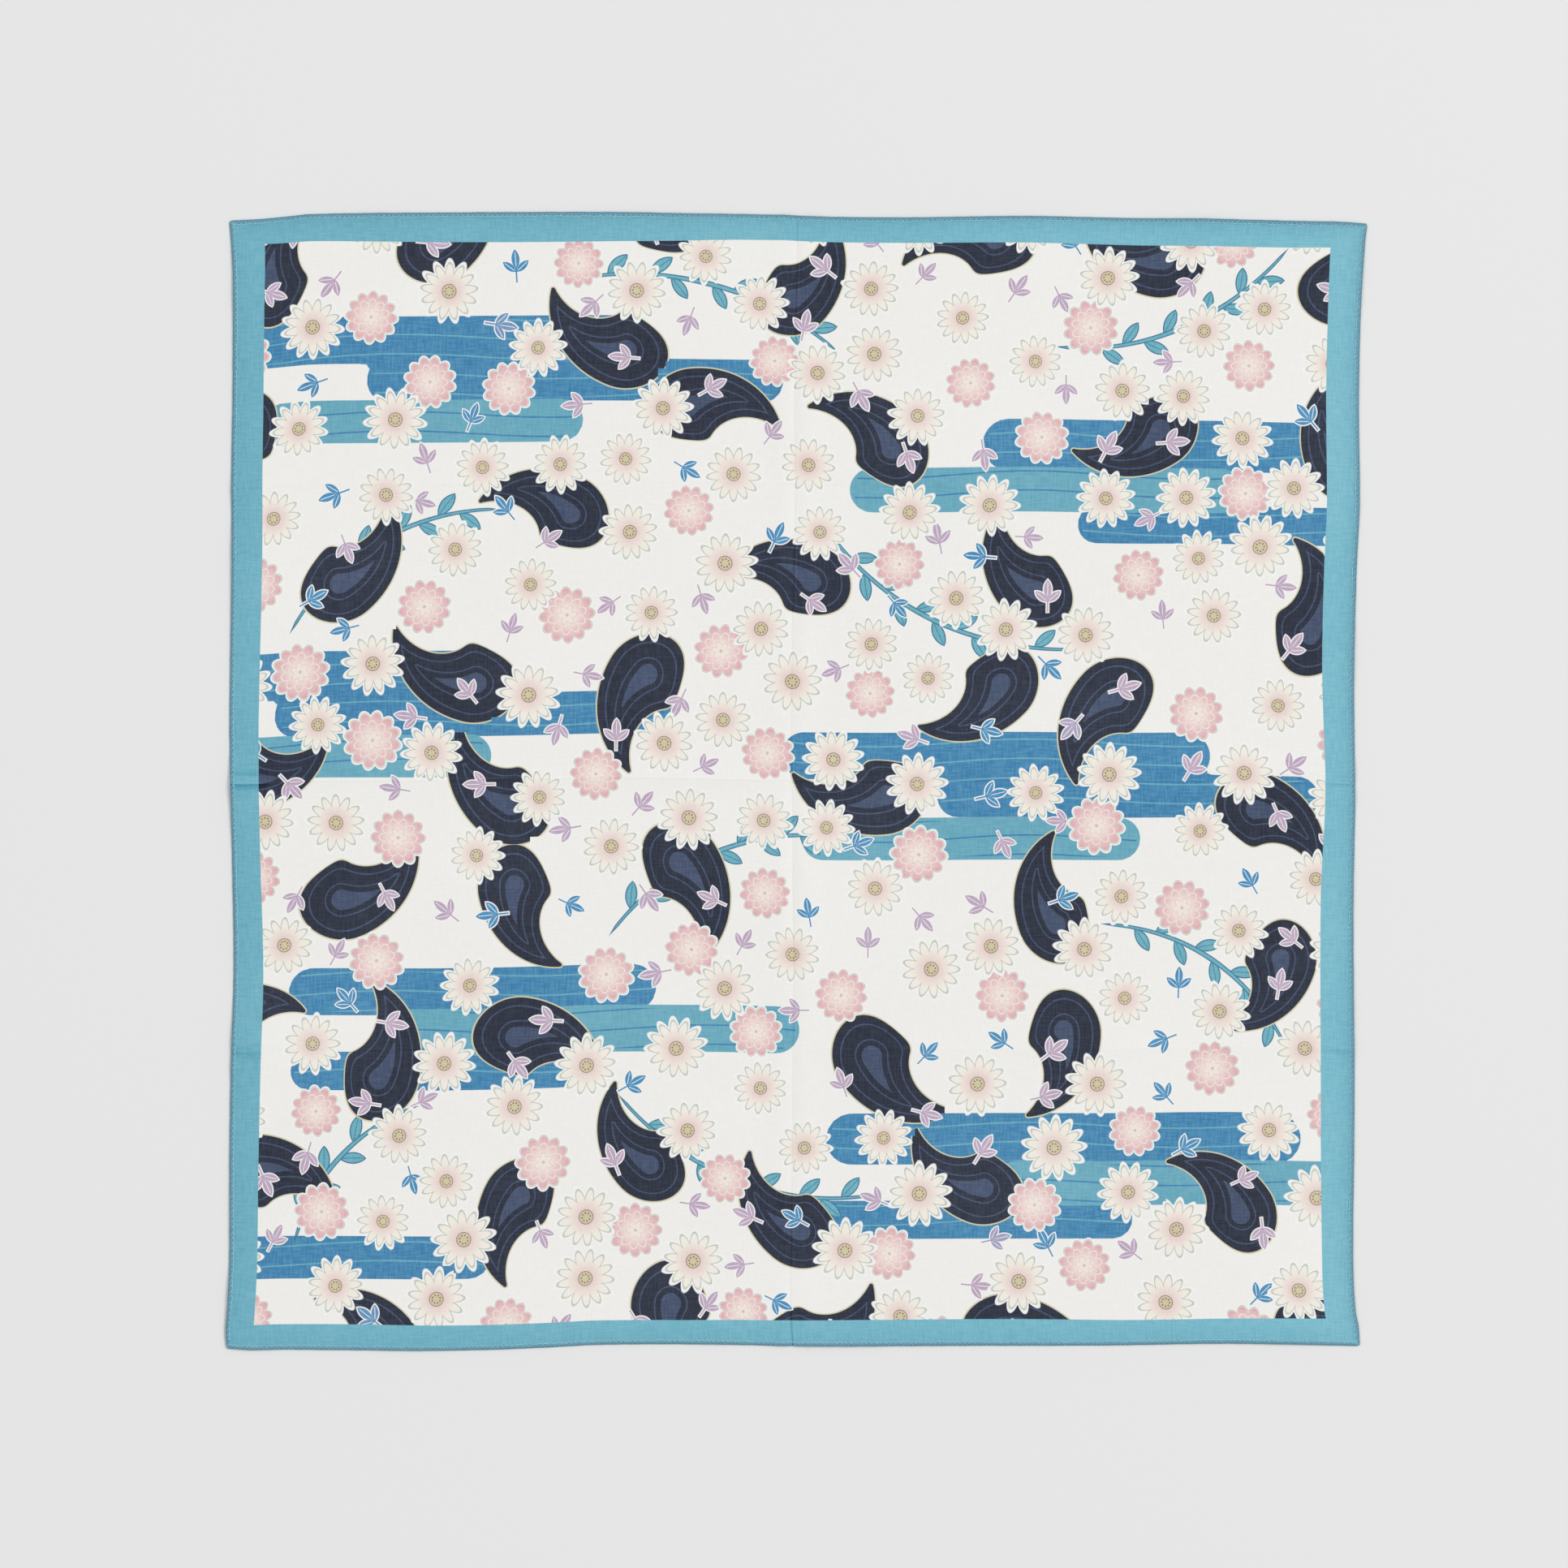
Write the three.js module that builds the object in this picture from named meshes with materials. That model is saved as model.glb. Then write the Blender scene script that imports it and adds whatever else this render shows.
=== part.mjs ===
// A square cotton bandana, opened out and laid flat on a surface, face up.
// One sheet with a thicker rolled hem, and the soft creases that folding has left across it.
// Millimetres, +Z up. The origin is the middle of the footprint, on the surface the cloth lies on.

import * as THREE from 'three';

// Driving dimensions
const SIDE = 530; // nominal side of the hemmed square
const CLOTH_THICKNESS = 1.0; // of the sheet, where it lies flat
const CORNER_RADIUS = 1.2; // the hem turns each corner in a tight curve
const FOLD_SPREAD = 16; // a crease lifts the cloth this far to each side
const FIELD_STEP = 26; // widest gap between two lines of points
const CLOTH_COLOUR = 0xe9e7e3; // white cotton ground

// The four corners as the cloth lies, a little out of square
const CORNERS = {
  nearLeft: new THREE.Vector2(-267.6, -266.2),
  nearRight: new THREE.Vector2(264.8, -265.2),
  farLeft: new THREE.Vector2(-266.4, 263.5),
  farRight: new THREE.Vector2(268.3, 262.1),
};

// Each edge's wave. along: share of the edge from its start. out: how far it bows outwards there.
// Near and far edges start at the left, left and right edges start at the near side.
const NEAR_EDGE = [
  { along: 0, out: 0 },
  { along: 0.022, out: 0.8 },
  { along: 0.045, out: 0.6 },
  { along: 0.12, out: 1.0 },
  { along: 0.18, out: 1.3 },
  { along: 0.24, out: 0.8 },
  { along: 0.29, out: -0.3 },
  { along: 0.33, out: -1.4 },
  { along: 0.43, out: -1.4 },
  { along: 0.49, out: -0.7 },
  { along: 0.53, out: -0.5 },
  { along: 0.66, out: -0.6 },
  { along: 0.78, out: -0.6 },
  { along: 0.88, out: -1.4 },
  { along: 0.97, out: -0.5 },
  { along: 1, out: 0 },
];
const FAR_EDGE = [
  { along: 0, out: 0 },
  { along: 0.03, out: 0.9 },
  { along: 0.05, out: 2.0 },
  { along: 0.07, out: 3.1 },
  { along: 0.11, out: 3.6 },
  { along: 0.23, out: 4.3 },
  { along: 0.34, out: 4.5 },
  { along: 0.4, out: 4.0 },
  { along: 0.485, out: 3.4 },
  { along: 0.515, out: 2.7 },
  { along: 0.6, out: 2.4 },
  { along: 0.7, out: 3.2 },
  { along: 0.8, out: 2.3 },
  { along: 0.86, out: 2.1 },
  { along: 0.94, out: 1.2 },
  { along: 0.975, out: 0.9 },
  { along: 1, out: 0 },
];
const LEFT_EDGE = [
  { along: 0, out: 0 },
  { along: 0.016, out: 0.5 },
  { along: 0.03, out: -0.1 },
  { along: 0.08, out: -1.2 },
  { along: 0.17, out: -1.2 },
  { along: 0.25, out: -1.7 },
  { along: 0.34, out: -2.9 },
  { along: 0.43, out: -2.1 },
  { along: 0.5, out: -1.2 },
  { along: 0.56, out: -0.7 },
  { along: 0.69, out: -1.5 },
  { along: 0.78, out: -1.3 },
  { along: 0.85, out: -1.8 },
  { along: 0.95, out: -1.8 },
  { along: 0.98, out: -0.9 },
  { along: 1, out: 0 },
];
const RIGHT_EDGE = [
  { along: 0, out: 0 },
  { along: 0.018, out: -0.8 },
  { along: 0.03, out: -2.1 },
  { along: 0.06, out: -3.3 },
  { along: 0.11, out: -3.6 },
  { along: 0.17, out: -3.4 },
  { along: 0.23, out: -3.4 },
  { along: 0.32, out: -4.1 },
  { along: 0.4, out: -4.5 },
  { along: 0.48, out: -4.0 },
  { along: 0.6, out: -4.9 },
  { along: 0.69, out: -4.0 },
  { along: 0.75, out: -2.8 },
  { along: 0.85, out: -3.5 },
  { along: 0.93, out: -2.7 },
  { along: 0.98, out: -1.2 },
  { along: 1, out: 0 },
];

// Fold creases. place: share of the side, from the left or from the near side.
// before and after: height of the crease on each half of its run, a trough between two swells if negative.
const UPRIGHT_CREASES = [
  { place: 0.5, before: -0.6, after: -0.5 },
];
const LEVEL_CREASES = [
  { place: 0.262, before: -0.3, after: 0.5 },
  { place: 0.5, before: 0.9, after: -0.5 },
  { place: 0.762, before: 0.4, after: -0.3 },
];

// Where a crease goes over from one half's form to the other's, as shares of its run
const CREASE_TURN = { from: 0.46, to: 0.54 };

// Brings the top of the swell beside a trough, a third of the way out, to the height in the table
const SWELL_SCALE = 27 / 4;

// The rolled hem, from the edge inwards. inset: distance from the edge. height: top of the hem there.
const HEM = [
  { inset: 0, height: 0.9 },
  { inset: 0.5, height: 1.5 },
  { inset: 1.1, height: 1.7 },
  { inset: 1.8, height: 1.4 },
  { inset: 2.5, height: CLOTH_THICKNESS },
];

// Lines of points beside each edge, where the edges that it meets turn to the corners: distance from the edge
const CORNER_LINES = [9, 16];

// Lines of points across a crease, as shares of its spread
const CREASE_LINES = [-1, -0.66, -0.33, -0.12, 0, 0.12, 0.33, 0.66, 1];

// A smooth curve through a table's rows, read at one share of the way along
function readWave(rows, along) {
  const last = rows.length - 1;
  let start = 0;
  while (start < last - 1 && rows[start + 1].along < along) {
    start += 1;
  }
  const slopeAt = (row) => {
    const before = rows[Math.max(row - 1, 0)];
    const after = rows[Math.min(row + 1, last)];
    return (after.out - before.out) / (after.along - before.along);
  };
  const from = rows[start];
  const to = rows[start + 1];
  const span = to.along - from.along;
  const t = (along - from.along) / span;
  const rise = t * t * (3 - 2 * t);
  const leave = t * (1 - t) * (1 - t) * span * slopeAt(start);
  const arrive = t * t * (t - 1) * span * slopeAt(start + 1);
  return from.out + (to.out - from.out) * rise + leave + arrive;
}

// A point on an edge: the straight line between its corners, moved outwards by the wave
function edgePoint(start, end, outward, rows, along) {
  const point = start.clone().lerp(end, along);
  return point.addScaledVector(outward, readWave(rows, along));
}

const LEFTWARD = new THREE.Vector2(-1, 0);
const RIGHTWARD = new THREE.Vector2(1, 0);
const NEARWARD = new THREE.Vector2(0, -1);
const FARWARD = new THREE.Vector2(0, 1);

// The place on the surface of the point that lies at shares across and up of the flat square
function lieOnSurface(across, up) {
  const { nearLeft, nearRight, farLeft, farRight } = CORNERS;
  const near = edgePoint(nearLeft, nearRight, NEARWARD, NEAR_EDGE, across);
  const far = edgePoint(farLeft, farRight, FARWARD, FAR_EDGE, across);
  const left = edgePoint(nearLeft, farLeft, LEFTWARD, LEFT_EDGE, up);
  const right = edgePoint(nearRight, farRight, RIGHTWARD, RIGHT_EDGE, up);
  const chordNear = nearLeft.clone().lerp(nearRight, across);
  const chordFar = farLeft.clone().lerp(farRight, across);
  const point = near.lerp(far, up);
  point.add(left.lerp(right, across));
  return point.sub(chordNear.lerp(chordFar, up));
}

// Draws the square's corners in to the curve that the hem turns
function roundCorner(across, up) {
  const reach = CORNER_RADIUS / SIDE;
  const p = Math.max(0, Math.abs(across - 0.5) - 0.5 + reach) / reach;
  const q = Math.max(0, Math.abs(up - 0.5) - 0.5 + reach) / reach;
  const inAcross = p * (1 - Math.sqrt(1 - (q * q) / 2)) * reach;
  const inUp = q * (1 - Math.sqrt(1 - (p * p) / 2)) * reach;
  return [
    across - Math.sign(across - 0.5) * inAcross,
    up - Math.sign(up - 0.5) * inUp,
  ];
}

// How high one crease lifts the cloth, at a share of the side and a share of the crease's own run
function creaseLift(crease, share, run) {
  const reach = Math.abs(share - crease.place) * SIDE / FOLD_SPREAD;
  if (reach >= 1) {
    return 0;
  }
  const turn = THREE.MathUtils.smoothstep(run, CREASE_TURN.from, CREASE_TURN.to);
  const height = THREE.MathUtils.lerp(crease.before, crease.after, turn);
  const slope = (1 - reach) * (1 - reach);
  const swell = reach * slope * SWELL_SCALE;
  return height > 0 ? height * slope : -height * swell;
}

// The lift of all the creases at one point: the highest of them where they cross
function liftAt(across, up) {
  const uprights = UPRIGHT_CREASES.map((crease) => creaseLift(crease, across, up));
  const levels = LEVEL_CREASES.map((crease) => creaseLift(crease, up, across));
  return Math.max(...uprights, ...levels);
}

// The sheet's thickness at one point, from the hem's table near the edges
function thicknessAt(across, up) {
  const inset = SIDE * Math.min(across, 1 - across, up, 1 - up);
  const inner = HEM.findIndex((row) => row.inset > inset);
  if (inner < 0) {
    return CLOTH_THICKNESS;
  }
  const from = HEM[inner - 1];
  const to = HEM[inner];
  return THREE.MathUtils.mapLinear(inset, from.inset, to.inset, from.height, to.height);
}

// Shares of the side at which lines of points run: close at edges and creases, even between them
function pointLines(creases) {
  const beside = [...HEM.map((row) => row.inset), ...CORNER_LINES];
  const marks = beside.map((inset) => inset / SIDE);
  for (const crease of creases) {
    marks.push(...CREASE_LINES.map((line) => crease.place + (line * FOLD_SPREAD) / SIDE));
  }
  marks.push(...beside.map((inset) => 1 - inset / SIDE).reverse());
  const lines = [marks[0]];
  for (let i = 1; i < marks.length; i += 1) {
    const gap = marks[i] - marks[i - 1];
    const steps = Math.ceil((gap * SIDE) / FIELD_STEP);
    for (let step = 1; step <= steps; step += 1) {
      lines.push(marks[i - 1] + (gap * step) / steps);
    }
  }
  return lines;
}

// The cloth: a gridded slab whose points are laid out one by one
function makeCloth() {
  const acrossLines = pointLines(UPRIGHT_CREASES);
  const upLines = pointLines(LEVEL_CREASES);
  const columns = acrossLines.length - 1;
  const rows = upLines.length - 1;
  const geometry = new THREE.BoxGeometry(1, 1, 1, columns, rows, 1);
  const position = geometry.attributes.position;
  for (let i = 0; i < position.count; i += 1) {
    const across = acrossLines[Math.round((position.getX(i) + 0.5) * columns)];
    const up = upLines[Math.round((position.getY(i) + 0.5) * rows)];
    const place = lieOnSurface(...roundCorner(across, up));
    const under = liftAt(across, up);
    const isTop = position.getZ(i) > 0;
    position.setXYZ(i, place.x, place.y, isTop ? under + thicknessAt(across, up) : under);
  }
  geometry.computeBoundingBox();
  const middle = geometry.boundingBox.getCenter(new THREE.Vector3());
  geometry.translate(-middle.x, -middle.y, 0);
  geometry.computeVertexNormals();
  const material = new THREE.MeshStandardMaterial({ color: CLOTH_COLOUR, roughness: 0.9, metalness: 0 });
  const cloth = new THREE.Mesh(geometry, material);
  cloth.name = 'bandana_cloth';
  return cloth;
}

const bandana = new THREE.Group();
bandana.add(makeCloth());

export default bandana;
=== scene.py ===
import math
from functools import partialmethod

import bpy
import numpy as np
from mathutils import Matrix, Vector


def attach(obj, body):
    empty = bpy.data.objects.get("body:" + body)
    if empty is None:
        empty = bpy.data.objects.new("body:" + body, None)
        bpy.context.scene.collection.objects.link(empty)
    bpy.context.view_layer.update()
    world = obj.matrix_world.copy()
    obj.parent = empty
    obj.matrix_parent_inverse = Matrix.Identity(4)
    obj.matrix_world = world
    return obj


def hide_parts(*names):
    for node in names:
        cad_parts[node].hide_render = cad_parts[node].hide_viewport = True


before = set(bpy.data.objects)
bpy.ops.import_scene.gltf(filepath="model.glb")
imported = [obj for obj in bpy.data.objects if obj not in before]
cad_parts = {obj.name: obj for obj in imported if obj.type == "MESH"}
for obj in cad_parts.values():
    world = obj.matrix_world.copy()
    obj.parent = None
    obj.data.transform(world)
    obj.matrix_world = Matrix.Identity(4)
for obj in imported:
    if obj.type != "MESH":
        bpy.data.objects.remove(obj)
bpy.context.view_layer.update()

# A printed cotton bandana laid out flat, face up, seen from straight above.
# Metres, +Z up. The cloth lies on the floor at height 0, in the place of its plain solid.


def table(columns, *rows):
    """Rows of values, each as a dictionary under the columns' names."""
    return [dict(zip(columns, row)) for row in rows]


MM = 0.001
WHOLE_TURN = 2 * math.pi

# Sizes of the cloth
SIDE = 530 * MM  # nominal side of the hemmed square
HALF = SIDE / 2
CORNER_RADIUS = 1.2 * MM
FOLD_SPREAD = 16 * MM  # a crease lifts the cloth this far to each side
FIELD_STEP = 3.5 * MM  # widest gap between two lines of points
OUTLINE_POINTS = 400  # on each edge, to measure the footprint

# Overlock sewing round the hem
STITCH_PITCH = {"near": 2.3 * MM, "right": 2.5 * MM, "far": 2.3 * MM, "left": 2.5 * MM}
STITCH_DEPTH = 1.6 * MM  # from the edge in to the needle line
STITCH_START = 0.4 * MM  # from a corner to the first stitch
STITCH_END = 1.2  # from the last stitch to the next corner, in pitches
STITCH_LOOSE = {"along": 0.07, "inset": 0.05}  # spread of a stitch's place, in pitches and depths
STITCH_SEED = 41
THREAD_ROOM = 0.3 * MM  # from the outline in to the cloth's own edge
THREAD_RADIUS = 0.2 * MM
THREAD_SIDES = 6

# The photograph's frame
FRAME_PIXELS = 1932
PIXEL = 0.3813 * MM  # 530 mm over the cloth's mean side of 1390 pixels
CLOTH_MIDDLE_PIXEL = (981.25, 962.75)
CAMERA_LENS = 85  # millimetres, on a sensor 36 mm wide
SENSOR_WIDTH = 36

# Floor and light, in metres and watts
FLOOR_HALF = 8.0
WORLD_STRENGTH = 0.535
LIGHTS = table(
    ("name", "place", "size", "power"),
    ("key", (6.0, 3.3, 7.8), 4.5, 496),
    ("fill", (-6.6, -2.4, 7.8), 5.4, 198),
)

# The four corners as the cloth lies, in millimetres, a little out of square
CORNERS = {
    "near_left": (-267.6, -266.2),
    "near_right": (264.8, -265.2),
    "far_left": (-266.4, 263.5),
    "far_right": (268.3, 262.1),
}

# Each edge's wave: shares of the edge from its start, and millimetres that it bows outwards there.
# Near and far edges start at the left, left and right edges start at the near side.
OUTLINE = {
    "near": (
        (0, 0.022, 0.045, 0.12, 0.18, 0.24, 0.29, 0.33, 0.43, 0.49, 0.53, 0.66, 0.78, 0.88, 0.97, 1),
        (0, 0.8, 0.6, 1.0, 1.3, 0.8, -0.3, -1.4, -1.4, -0.7, -0.5, -0.6, -0.6, -1.4, -0.5, 0),
    ),
    "far": (
        (0, 0.03, 0.05, 0.07, 0.11, 0.23, 0.34, 0.4, 0.485, 0.515, 0.6, 0.7, 0.8, 0.86, 0.94, 0.975, 1),
        (0, 0.9, 2.0, 3.1, 3.6, 4.3, 4.5, 4.0, 3.4, 2.7, 2.4, 3.2, 2.3, 2.1, 1.2, 0.9, 0),
    ),
    "left": (
        (0, 0.016, 0.03, 0.08, 0.17, 0.25, 0.34, 0.43, 0.5, 0.56, 0.69, 0.78, 0.85, 0.95, 0.98, 1),
        (0, 0.5, -0.1, -1.2, -1.2, -1.7, -2.9, -2.1, -1.2, -0.7, -1.5, -1.3, -1.8, -1.8, -0.9, 0),
    ),
    "right": (
        (0, 0.018, 0.03, 0.06, 0.11, 0.17, 0.23, 0.32, 0.4, 0.48, 0.6, 0.69, 0.75, 0.85, 0.93, 0.98, 1),
        (0, -0.8, -2.1, -3.3, -3.6, -3.4, -3.4, -4.1, -4.5, -4.0, -4.9, -4.0, -2.8, -3.5, -2.7, -1.2, 0),
    ),
}

# The plain printed border: shares of each edge from the same starts, and its width in millimetres
BORDER = {
    "near": (
        (0, 0.1, 0.2, 0.4, 0.5, 0.7, 0.85, 1),
        (11.4, 11.8, 11.4, 11.1, 11.8, 12.2, 11.4, 12.6),
    ),
    "far": (
        (0, 0.06, 0.23, 0.35, 0.45, 0.6, 0.75, 0.9, 1),
        (10.7, 12.2, 13.7, 13.3, 11.8, 11.8, 12.4, 12.6, 11.8),
    ),
    "left": (
        (0, 0.1, 0.3, 0.45, 0.6, 0.75, 0.93, 1),
        (12.6, 13.0, 13.9, 13.0, 13.7, 14.3, 14.5, 16.0),
    ),
    "right": (
        (0, 0.08, 0.2, 0.4, 0.5, 0.6, 0.75, 0.93, 1),
        (14.5, 14.5, 15.6, 15.2, 13.8, 14.8, 15.2, 15.2, 16.0),
    ),
}

# Fold creases. place: share of the side, from the left or from the near side.
# before, after: height in millimetres on each half of the run, a trough between two swells if negative.
# press: how sharply the iron has set the line, from 0 to 1; it sets how strong the light line of worn
# ink and the thin line of painted shade along the crease are.
# The last three columns hold two values each, where the start and the end of the crease cross the
# border:
# the strength of a painted shadow there; pleat: millimetres between the pleat's two lines;
# soft: how far the painted shadow fades.
CREASE_COLUMNS = ("place", "before", "after", "press", "painted_shade", "pleat", "soft")
UPRIGHT_CREASES = table(CREASE_COLUMNS, (0.5, -0.6, -0.5, 1.0, (0.29, 0), (0, 0), (0.8, 0.8)))
LEVEL_CREASES = table(
    CREASE_COLUMNS,
    (0.262, -0.3, 0.5, 0.25, (0.19, 0.18), (0, 0), (4.5, 3.0)),
    (0.5, 0.9, -0.5, 0.8, (0.42, 0.09), (4.8, 3.6), (3.0, 1.9)),
    (0.762, 0.4, -0.3, 0.25, (0, 0), (0, 0), (1.0, 1.0)),
)
# where a crease's painted shadow over the border sets in and where it is full
SHADE_FADE = (19, 12)  # millimetres from the edge between which a crease grows dark
CREASE_TURN = (0.46, 0.54)  # shares of the run between which a crease changes its form
CREASE_STRAY = {"out": 0.5 * MM, "length": 170 * MM}  # how a crease strays from its straight line
CREASE_UNEVEN = {"share": 0.3, "length": 90 * MM}  # how its height comes and goes along its run
SWELL_SCALE = 27 / 4  # brings the swell beside a trough to the height in the table
CREASE_LINES = (0, 0.4, 0.9, 1.5, 2.3, 3.3, 4.6, 6.2, 8.2, 10.6, 13.2, 16)  # millimetres to each side

# Swells of the slack cloth: the tops of an uneven surface that stand above its cut.
# high: height for one unit of unevenness. length: of one swell.
SLACK = {"high": 0.35 * MM, "length": 150 * MM, "cut": 0.1, "seed": 21}
RUMPLE = {"high": 0.05 * MM, "length": 26 * MM, "cut": -1, "seed": 22}
RIPPLE = {"high": 0.55 * MM, "length": 62 * MM, "cut": 0.15, "seed": 23}
RIPPLE_REACH = 11 * MM  # the edge's ripple dies away inwards over this distance
WAVE_LENGTHS = (0.7, 1.6)  # range of the waves in an uneven surface, as shares of its length

# The rolled hem, from the edge inwards, in millimetres.
# top, under: heights of its two faces above the line that the cloth lies on.
HEM = {
    "inset": (0.0, 0.15, 0.4, 0.8, 1.2, 1.6, 2.0, 2.6, 3.4, 4.4),
    "top": (0.6, 0.8, 0.94, 0.98, 0.93, 0.84, 0.73, 0.6, 0.48, 0.4),
    "under": (0.5, 0.41, 0.38, 0.38, 0.38, 0.33, 0.27, 0.17, 0.07, 0.02),
}


# Shape of the cloth

def read_wave(wave, along):
    """A smooth curve through a wave's shares and values, read at shares of the way along."""
    at, out = np.array(wave, float)
    order = np.arange(len(at))
    before = np.maximum(order - 1, 0)
    after = np.minimum(order + 1, len(at) - 1)
    slope = (out[after] - out[before]) / (at[after] - at[before])
    start = np.clip(np.searchsorted(at, along) - 1, 0, len(at) - 2)
    span = at[start + 1] - at[start]
    t = (along - at[start]) / span
    rise = t * t * (3 - 2 * t)
    leave = t * (1 - t) ** 2 * span * slope[start]
    arrive = t * t * (t - 1) * span * slope[start + 1]
    return out[start] + (out[start + 1] - out[start]) * rise + leave + arrive


def round_corner(across, up):
    """Draws the square's corners in to the curve that the hem turns."""
    reach = CORNER_RADIUS / SIDE
    p = np.clip(np.abs(across - 0.5) - 0.5 + reach, 0, reach) / reach
    q = np.clip(np.abs(up - 0.5) - 0.5 + reach, 0, reach) / reach
    in_across = p * (1 - np.sqrt(1 - q * q / 2)) * reach
    in_up = q * (1 - np.sqrt(1 - p * p / 2)) * reach
    return across - np.sign(across - 0.5) * in_across, up - np.sign(up - 0.5) * in_up


def lie(across, up):
    """Where points at shares across and up of the square lie on the floor, before it is centred."""
    inner = 1 - 2 * THREAD_ROOM / SIDE
    across, up = round_corner(0.5 + (across - 0.5) * inner, 0.5 + (up - 0.5) * inner)

    def chord(side):
        left, right = (np.array(CORNERS[f"{side}_{end}"]) for end in ("left", "right"))
        return left + (right - left) * across[..., None]

    near_chord, far_chord = chord("near"), chord("far")
    point = near_chord + (far_chord - near_chord) * up[..., None]
    near, far = (read_wave(OUTLINE[edge], across) for edge in ("near", "far"))
    left, right = (read_wave(OUTLINE[edge], up) for edge in ("left", "right"))
    point[..., 0] += right * across - left * (1 - across)
    point[..., 1] += far * up - near * (1 - up)
    return point * MM


def footprint_middle():
    """The middle of the outline's box, which is the part's origin."""
    share = np.linspace(0, 1, OUTLINE_POINTS)
    none, full = np.zeros_like(share), np.ones_like(share)
    edges = [lie(share, none), lie(share, full), lie(none, share), lie(full, share)]
    outline = np.concatenate(edges)
    return (outline.min(0) + outline.max(0)) / 2


MIDDLE = footprint_middle()


def wander(x, y, length, seed, waves=7):
    """Smooth unevenness between about -1 and 1, with swells about one length long."""
    draw = np.random.default_rng(seed)
    total = np.zeros(np.broadcast(x, y).shape)
    for _ in range(waves):
        turn = draw.uniform(0, WHOLE_TURN)
        pitch = length * draw.uniform(*WAVE_LENGTHS)
        start = draw.uniform(0, WHOLE_TURN)
        total += np.sin((x * math.cos(turn) + y * math.sin(turn)) * WHOLE_TURN / pitch + start)
    return total / math.sqrt(waves)


def smoothstep(value, low, high):
    t = np.clip((value - low) / (high - low), 0, 1)
    return t * t * (3 - 2 * t)


def crease_seed(crease):
    """Each crease's own start for random draws: its place in thousandths."""
    return int(crease["place"] * 1000)


def past_crease(crease, share, run):
    """Distance past a crease's line, at shares of the side and of the crease's own run."""
    stray = wander(run * SIDE, 0, CREASE_STRAY["length"], crease_seed(crease))
    return (share - crease["place"]) * SIDE - CREASE_STRAY["out"] * stray


def crease_lift(crease, share, run):
    """How high one crease lifts the cloth, at the same shares."""
    reach = np.minimum(np.abs(past_crease(crease, share, run)) / FOLD_SPREAD, 1)
    turn = smoothstep(run, *CREASE_TURN)
    height = crease["before"] + (crease["after"] - crease["before"]) * turn
    uneven = wander(run * SIDE, 0, CREASE_UNEVEN["length"], crease_seed(crease) + 1)
    height = height * MM * (1 + CREASE_UNEVEN["share"] * uneven)
    slope = (1 - reach) ** 2
    swell = reach * slope * SWELL_SCALE
    return np.where(height > 0, height * slope, -height * swell)


def nearest_crease(creases, share, run):
    """For each point: millimetres past the nearest crease, its press, its painted shadow's strength,
    pleat and soft.
    """
    past = np.array([past_crease(crease, share, run) for crease in creases])
    nearest = np.argmin(np.abs(past), axis=0)
    away = np.take_along_axis(past, nearest[None], 0)[0] / MM
    press, painted_shades, pleats, softs = (
        np.array([crease[key] for crease in creases])[nearest]
        for key in ("press", "painted_shade", "pleat", "soft")
    )
    from_ends = np.stack([run, 1 - run], -1) * SIDE / MM
    # strength of the painted shadow over the border, growing in from each end of the crease
    painted_shade = (painted_shades * smoothstep(from_ends, *SHADE_FADE)).sum(-1)
    pleat, soft = (np.where(run < 0.5, ends[..., 0], ends[..., 1]) for ends in (pleats, softs))
    return away, press, painted_shade, pleat, soft


def inset_of(across, up):
    """Distance in from the nearest edge."""
    return SIDE * np.minimum(np.minimum(across, 1 - across), np.minimum(up, 1 - up))


def slack_swell(form, x, y):
    """Height of one kind of swell."""
    return form["high"] * np.maximum(wander(x, y, form["length"], form["seed"]) - form["cut"], 0)


def lift(across, up):
    """How far the cloth stands off the floor: its creases, slack swells and rippled edge."""
    x, y = (across - 0.5) * SIDE, (up - 0.5) * SIDE
    folds = [crease_lift(crease, across, up) for crease in UPRIGHT_CREASES]
    folds += [crease_lift(crease, up, across) for crease in LEVEL_CREASES]
    highest = np.max(folds, axis=0)
    near_edge = np.exp(-inset_of(across, up) / RIPPLE_REACH)
    slack, rumple, ripple = (slack_swell(form, x, y) for form in (SLACK, RUMPLE, RIPPLE))
    return highest + slack + rumple + near_edge * ripple


def hem_height(face, inset):
    """Height of the hem's top or under face above the line that the cloth lies on."""
    return np.interp(inset / MM, HEM["inset"], HEM[face]) * MM


def line_shares(creases):
    """Shares of the side at which lines of points run: close at hems and creases, even between."""
    hem = np.array(HEM["inset"]) * MM / SIDE
    marks = list(hem)
    steps = np.array(CREASE_LINES) * MM / SIDE
    for crease in creases:
        marks += list(crease["place"] - steps[::-1])
        marks += list(crease["place"] + steps[1:])
    marks += list(1 - hem[::-1])
    shares = [marks[0]]
    for start, end in zip(marks, marks[1:]):
        count = math.ceil((end - start) * SIDE / FIELD_STEP)
        shares += [start + (end - start) * step / count for step in range(1, count + 1)]
    return np.array(shares)


def border_depth(share, run, first, last):
    """Millimetres that each point lies outside the inner edges of two facing borders."""
    inset = share * SIDE / MM
    first_wide, last_wide = (read_wave(BORDER[edge], run) for edge in (first, last))
    return np.maximum(first_wide - inset, last_wide - (SIDE / MM - inset))


def add_object(name, data):
    """Puts a new object into the scene."""
    added = bpy.data.objects.new(name, data)
    bpy.context.collection.objects.link(added)
    return added


def add_mesh(name, points, faces):
    """Puts a new mesh into the scene."""
    mesh = bpy.data.meshes.new(name)
    mesh.from_pydata(points, [], faces)
    return add_object(name, mesh), mesh


def keep_values(mesh, name, domain, values):
    """Stores three numbers for each point or face corner, for a material."""
    store = mesh.attributes.new(name, "FLOAT_VECTOR", domain)
    store.data.foreach_set("vector", np.ascontiguousarray(values, np.float32).ravel())


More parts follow.
